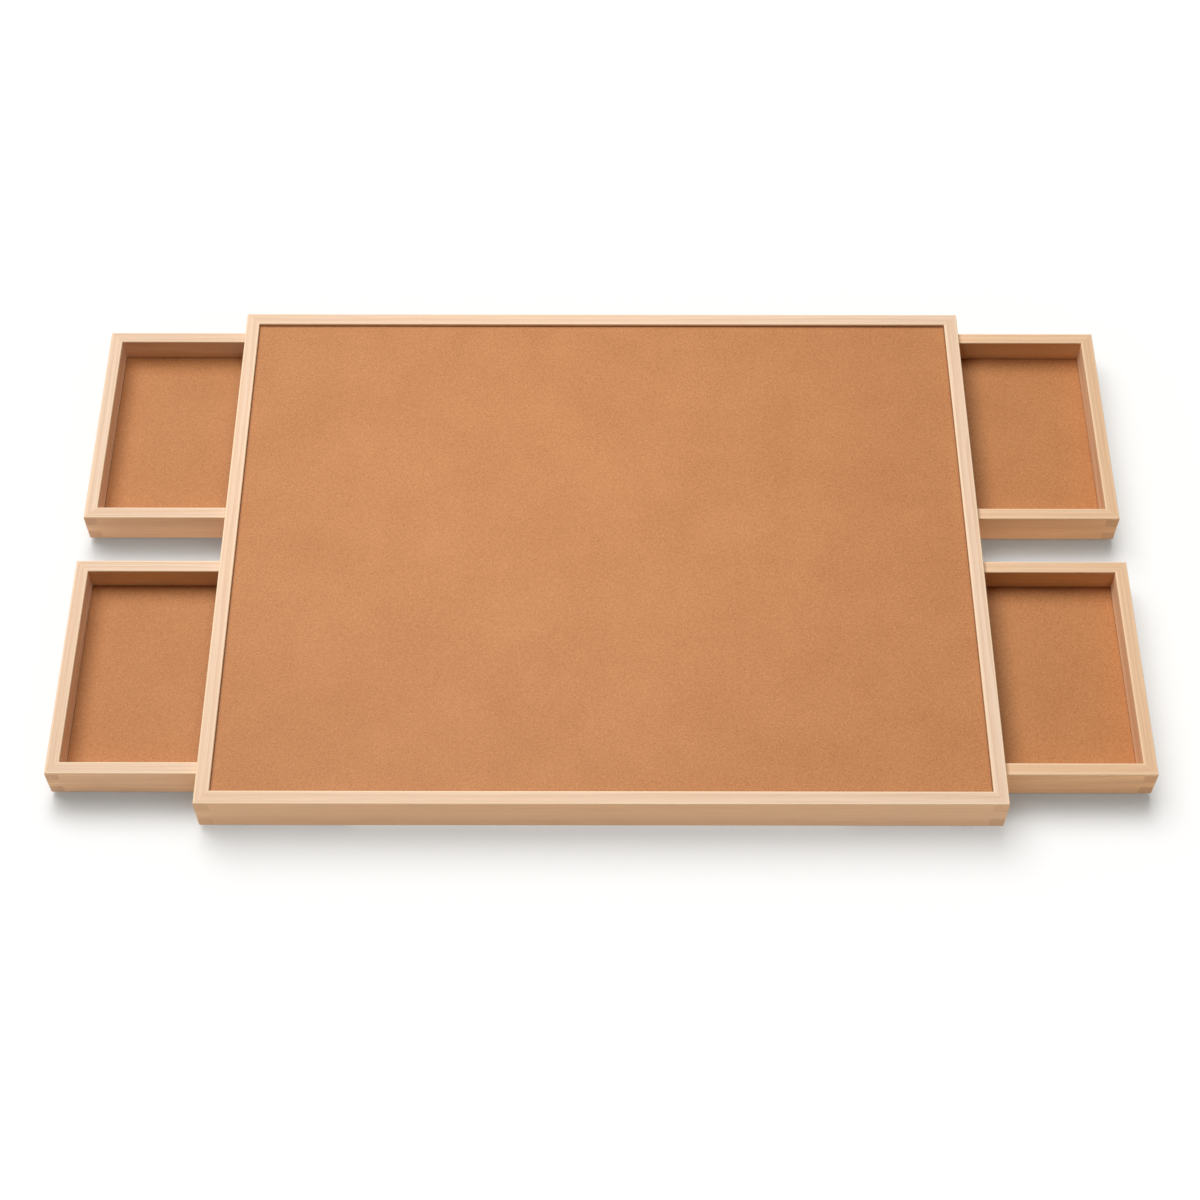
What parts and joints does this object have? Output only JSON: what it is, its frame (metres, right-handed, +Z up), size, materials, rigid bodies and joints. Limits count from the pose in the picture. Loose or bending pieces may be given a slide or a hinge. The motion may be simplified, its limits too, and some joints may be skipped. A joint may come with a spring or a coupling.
{
  "type": "jigsaw puzzle table",
  "caption": "Low wooden puzzle board that lies on a table, with a recessed fibreboard work surface, finger-jointed rails and shallow drawers that slide out at both sides.",
  "frame": {"origin": "on the surface that the table lies on, below the middle of the work surface", "axes": "+Z up, +X to the right along the long side and along the drawers' travel, -Y towards the player"},
  "size_m": [1.2, 0.676, 0.054],
  "materials": {
    "rail_wood": "fine pale hardwood, satin",
    "drawer_wood": "fine pale hardwood, satin",
    "work_board": "smooth brown fibreboard, matt",
    "floor_board": "smooth brown fibreboard, matt",
    "inner_wood": "plain planed softwood",
    "strip_wood": "thin plywood strip",
    "dowel_wood": "plain round dowel",
    "screw_steel": "zinc plated",
    "foot_rubber": "matt rubber"
  },
  "bodies": {
    "frame": {"front_rail": "rail_wood", "back_rail": "rail_wood", "left_rail": "rail_wood", "right_rail": "rail_wood", "work_surface": "work_board", "front_guide": "inner_wood", "front_middle_guide": "inner_wood", "back_middle_guide": "inner_wood", "back_guide": "inner_wood", "front_bay_brace": "inner_wood", "middle_spacer": "inner_wood", "back_bay_brace": "inner_wood", "front_slide_strip": "strip_wood", "middle_slide_strip": "strip_wood", "back_slide_strip": "strip_wood", "front_strip_screws": "screw_steel", "middle_strip_screws": "screw_steel", "back_strip_screws": "screw_steel", "rubber_feet": "foot_rubber"},
    "front_left_drawer": {"front_left_drawer_outer_wall": "drawer_wood", "front_left_drawer_inner_wall": "drawer_wood", "front_left_drawer_front_wall": "drawer_wood", "front_left_drawer_back_wall": "drawer_wood", "front_left_drawer_floor": "floor_board", "front_left_drawer_stop_pins": "dowel_wood"},
    "front_right_drawer": {"front_right_drawer_outer_wall": "drawer_wood", "front_right_drawer_inner_wall": "drawer_wood", "front_right_drawer_front_wall": "drawer_wood", "front_right_drawer_back_wall": "drawer_wood", "front_right_drawer_floor": "floor_board", "front_right_drawer_stop_pins": "dowel_wood"},
    "back_left_drawer": {"back_left_drawer_outer_wall": "drawer_wood", "back_left_drawer_inner_wall": "drawer_wood", "back_left_drawer_front_wall": "drawer_wood", "back_left_drawer_back_wall": "drawer_wood", "back_left_drawer_floor": "floor_board", "back_left_drawer_stop_pins": "dowel_wood"},
    "back_right_drawer": {"back_right_drawer_outer_wall": "drawer_wood", "back_right_drawer_inner_wall": "drawer_wood", "back_right_drawer_front_wall": "drawer_wood", "back_right_drawer_back_wall": "drawer_wood", "back_right_drawer_floor": "floor_board", "back_right_drawer_stop_pins": "dowel_wood"}
  },
  "joints": [
    {"name": "front_left_slide", "type": "slide", "parent": "frame", "child": "front_left_drawer", "axis": [-1, 0, 0], "range_m": [-0.165, 0.075]},
    {"name": "front_right_slide", "type": "slide", "parent": "frame", "child": "front_right_drawer", "axis": [1, 0, 0], "range_m": [-0.165, 0.075]},
    {"name": "back_left_slide", "type": "slide", "parent": "frame", "child": "back_left_drawer", "axis": [-1, 0, 0], "range_m": [-0.165, 0.075]},
    {"name": "back_right_slide", "type": "slide", "parent": "frame", "child": "back_right_drawer", "axis": [1, 0, 0], "range_m": [-0.165, 0.075]}
  ]
}
